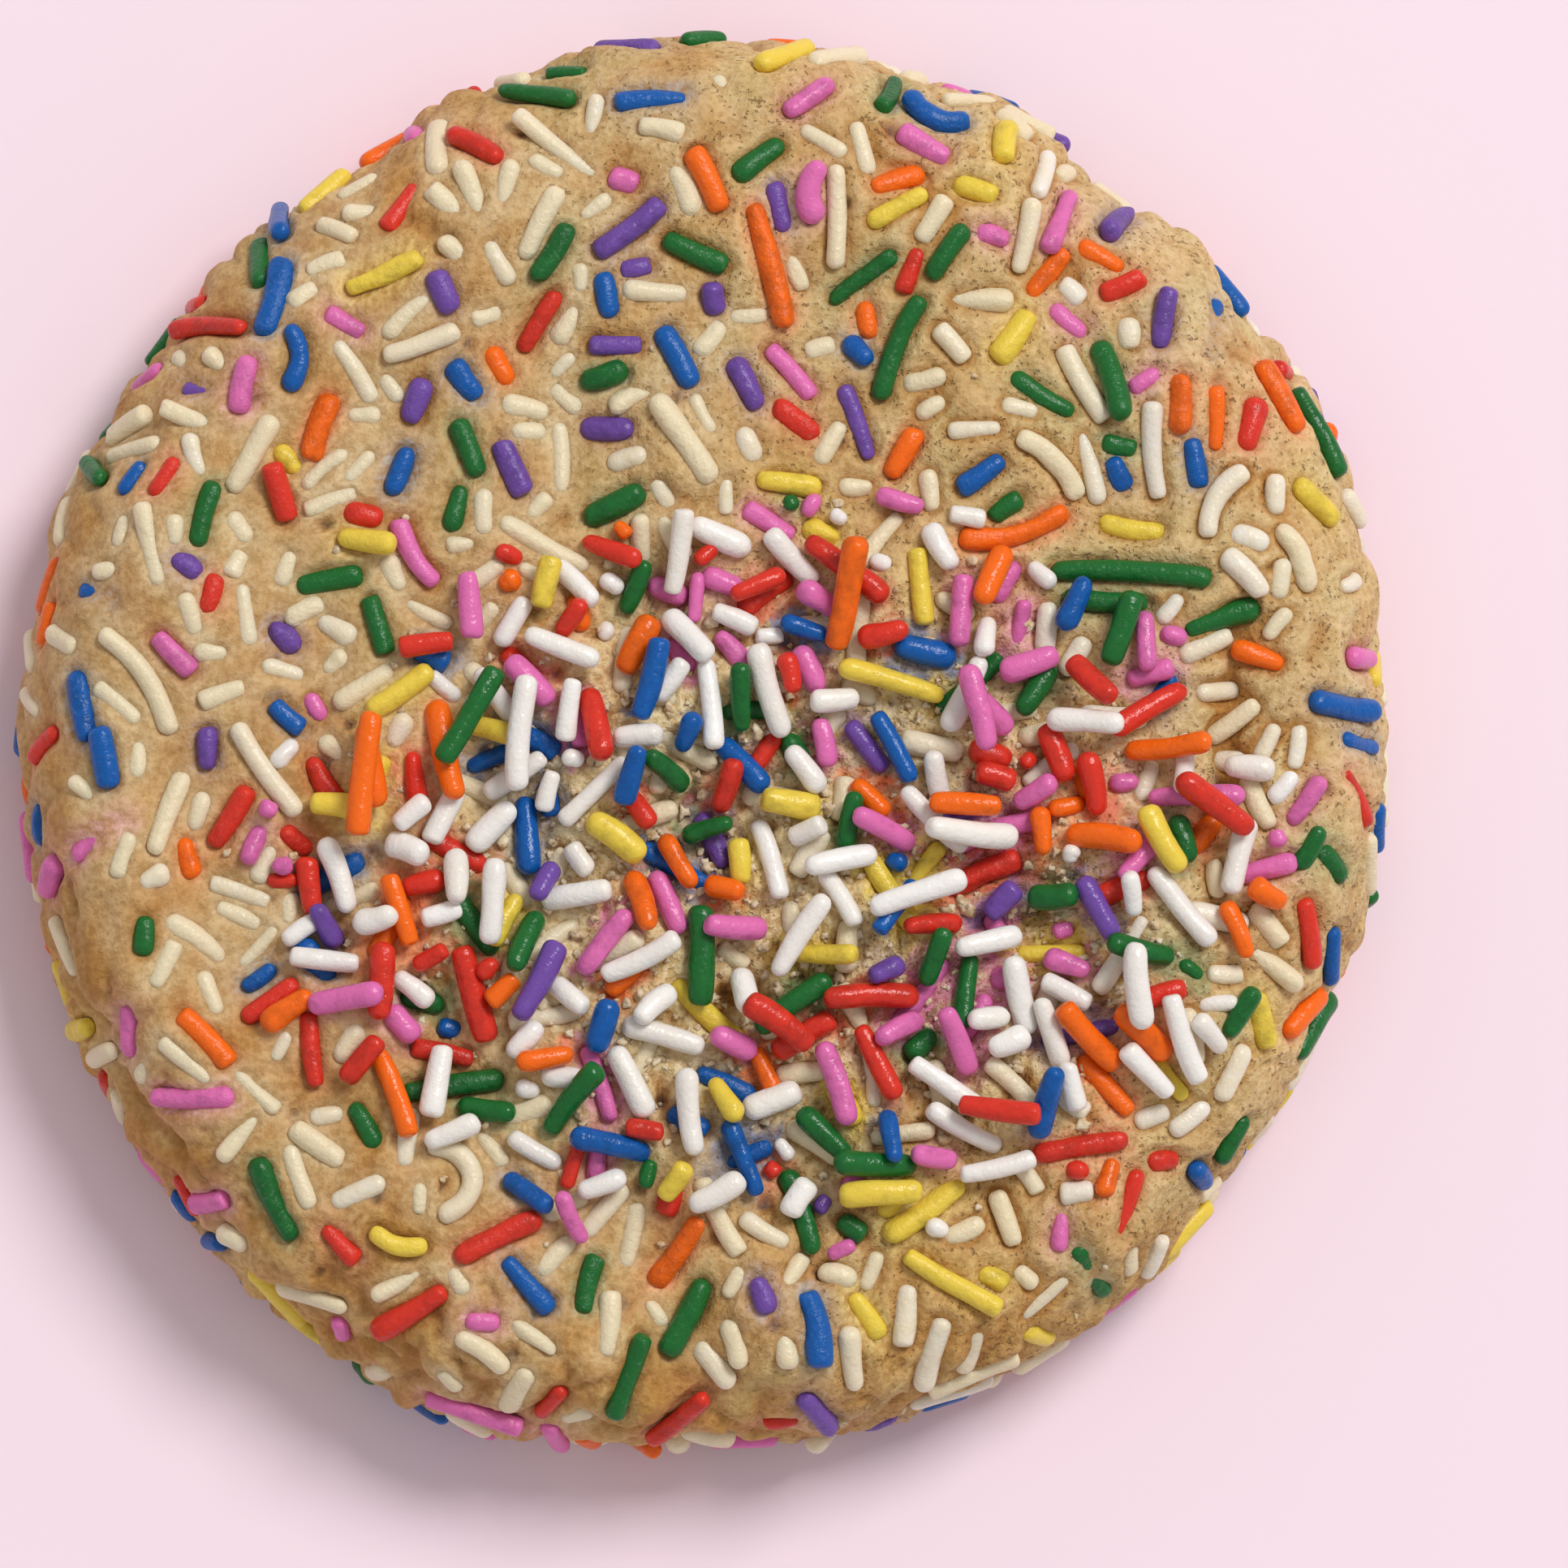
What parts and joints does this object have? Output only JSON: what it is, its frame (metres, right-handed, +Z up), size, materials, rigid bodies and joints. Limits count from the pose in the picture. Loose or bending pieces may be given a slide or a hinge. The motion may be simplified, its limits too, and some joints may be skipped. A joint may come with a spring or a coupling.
{
  "type": "birthday cake sprinkle cookie",
  "caption": "Thick round soft-baked cookie with rainbow sprinkles baked into its crust and wall and a loose heap of them on top.",
  "frame": {"origin": "on the surface it rests on, under the middle of the cookie's outline", "axes": "+Z up through the cookie's thickness, +X to the right and +Y away, as the cookie is seen from above with its front towards -Y"},
  "size_m": [0.0753, 0.0782, 0.0161],
  "materials": {
    "dough": "golden vanilla sugar-cookie crust, matt and finely porous, browner towards the foot",
    "sprinkle_white": "white sugar sprinkles, smooth with a soft gloss, cream-coloured where baked in",
    "sprinkle_pink": "pink sugar sprinkles, soft gloss",
    "sprinkle_red": "red sugar sprinkles, soft gloss",
    "sprinkle_orange": "orange sugar sprinkles, soft gloss",
    "sprinkle_green": "green sugar sprinkles, soft gloss",
    "sprinkle_blue": "blue sugar sprinkles, soft gloss",
    "sprinkle_yellow": "yellow sugar sprinkles, soft gloss",
    "sprinkle_purple": "purple sugar sprinkles, soft gloss"
  },
  "bodies": {
    "root": {"cookie": "dough"}
  },
  "joints": []
}
